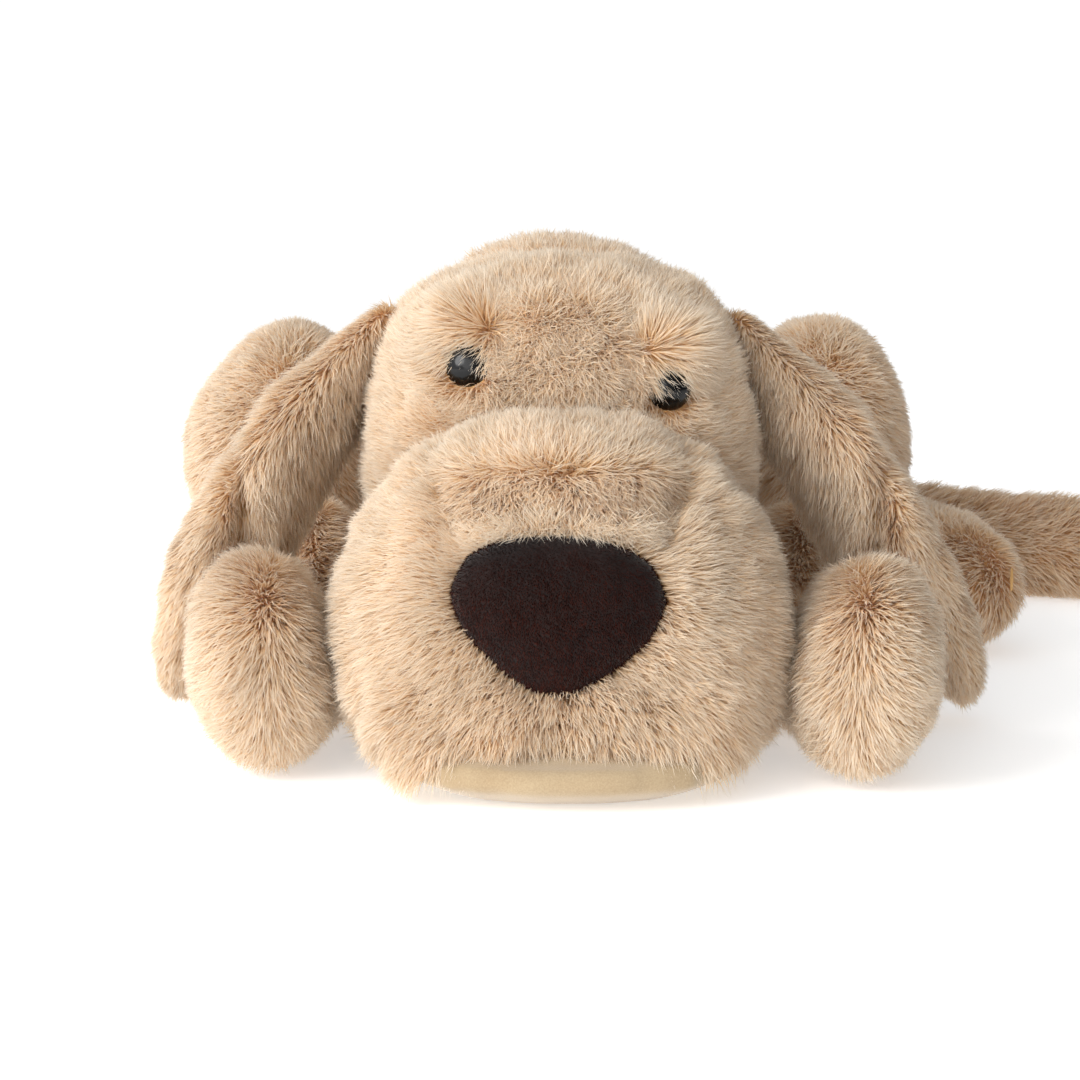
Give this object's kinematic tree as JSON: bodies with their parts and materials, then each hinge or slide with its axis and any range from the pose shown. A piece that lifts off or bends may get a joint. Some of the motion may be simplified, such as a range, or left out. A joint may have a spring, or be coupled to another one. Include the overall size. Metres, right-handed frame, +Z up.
{
  "type": "plush dog",
  "caption": "Floppy plush dog lying on its belly, chin on the floor between its front paws, with drooping ears, a big soft muzzle and a thick tail.",
  "frame": {"origin": "middle of the flat belly, on the floor", "axes": "the dog faces -Y, +X is its own left side, +Z is up"},
  "size_m": [0.5612, 0.5945, 0.2177],
  "materials": {
    "fur_fabric": "soft knitted plush with a 15 mm polyester pile, cream at the tips and tan at the roots",
    "short_pile": "smooth short-pile polyester velboa in cream",
    "nose_velour": "dark brown short-pile velour",
    "stuffing": "white polyester fibre filling",
    "pouch_cloth": "plain woven cotton round plastic beans",
    "eye_plastic": "polished black plastic",
    "washer_plastic": "natural plastic",
    "thread": "doubled tan sewing thread",
    "label_satin": "blank white satin tape"
  },
  "bodies": {
    "torso": {"torso_skin": "fur_fabric", "belly_panel": "fur_fabric", "torso_stuffing": "stuffing", "bean_pouch": "pouch_cloth", "care_label": "label_satin"},
    "head": {"head_skin": "fur_fabric", "head_stuffing": "stuffing", "muzzle_skin": "fur_fabric", "muzzle_stuffing": "stuffing", "chin_panel": "short_pile", "chin_stuffing": "stuffing", "nose_cover": "nose_velour", "nose_padding": "stuffing", "eye_left": "eye_plastic", "eye_washer_left": "washer_plastic", "eye_right": "eye_plastic", "eye_washer_right": "washer_plastic"},
    "ear_left": {"ear_left_outer": "fur_fabric", "ear_left_inner": "fur_fabric", "ear_left_wadding": "stuffing"},
    "ear_right": {"ear_right_outer": "fur_fabric", "ear_right_inner": "fur_fabric", "ear_right_wadding": "stuffing"},
    "front_leg_left": {"front_leg_left_skin": "fur_fabric", "front_leg_left_sole": "short_pile", "front_leg_left_stuffing": "stuffing", "front_paw_left_toe_thread": "thread"},
    "front_leg_right": {"front_leg_right_skin": "fur_fabric", "front_leg_right_sole": "short_pile", "front_leg_right_stuffing": "stuffing", "front_paw_right_toe_thread": "thread"},
    "hind_leg_left": {"hind_leg_left_skin": "fur_fabric", "hind_leg_left_sole": "short_pile", "hind_leg_left_stuffing": "stuffing", "hind_paw_left_toe_thread": "thread"},
    "hind_leg_right": {"hind_leg_right_skin": "fur_fabric", "hind_leg_right_sole": "short_pile", "hind_leg_right_stuffing": "stuffing", "hind_paw_right_toe_thread": "thread"},
    "tail": {"tail_skin": "fur_fabric", "tail_stuffing": "stuffing"}
  },
  "joints": [
    {"name": "neck_nod", "type": "hinge", "parent": "torso", "child": "head", "pos_m": [0, -0.122, 0.135], "axis": [1, 0, 0], "range_deg": [-15, 0]},
    {"name": "ear_left_lift", "type": "hinge", "parent": "head", "child": "ear_left", "pos_m": [0.09, -0.204, 0.176], "axis": [0, -1, 0], "range_deg": [0, 90]},
    {"name": "ear_right_lift", "type": "hinge", "parent": "head", "child": "ear_right", "pos_m": [-0.09, -0.204, 0.176], "axis": [0, 1, 0], "range_deg": [0, 90]},
    {"name": "front_leg_left_swing", "type": "hinge", "parent": "torso", "child": "front_leg_left", "pos_m": [0.121, -0.095, 0.048], "axis": [1, 0, 0], "range_deg": [0, 60]},
    {"name": "front_leg_right_swing", "type": "hinge", "parent": "torso", "child": "front_leg_right", "pos_m": [-0.121, -0.095, 0.048], "axis": [1, 0, 0], "range_deg": [0, 60]},
    {"name": "hind_leg_left_swing", "type": "hinge", "parent": "torso", "child": "hind_leg_left", "pos_m": [0.15, 0.055, 0.105], "axis": [1, 0, 0], "range_deg": [0, 50]},
    {"name": "hind_leg_right_swing", "type": "hinge", "parent": "torso", "child": "hind_leg_right", "pos_m": [-0.15, 0.055, 0.105], "axis": [1, 0, 0], "range_deg": [0, 50]},
    {"name": "tail_wag", "type": "hinge", "parent": "torso", "child": "tail", "pos_m": [0.01, 0.16, 0.062], "axis": [0, 0, 1], "range_deg": [0, 75]}
  ]
}
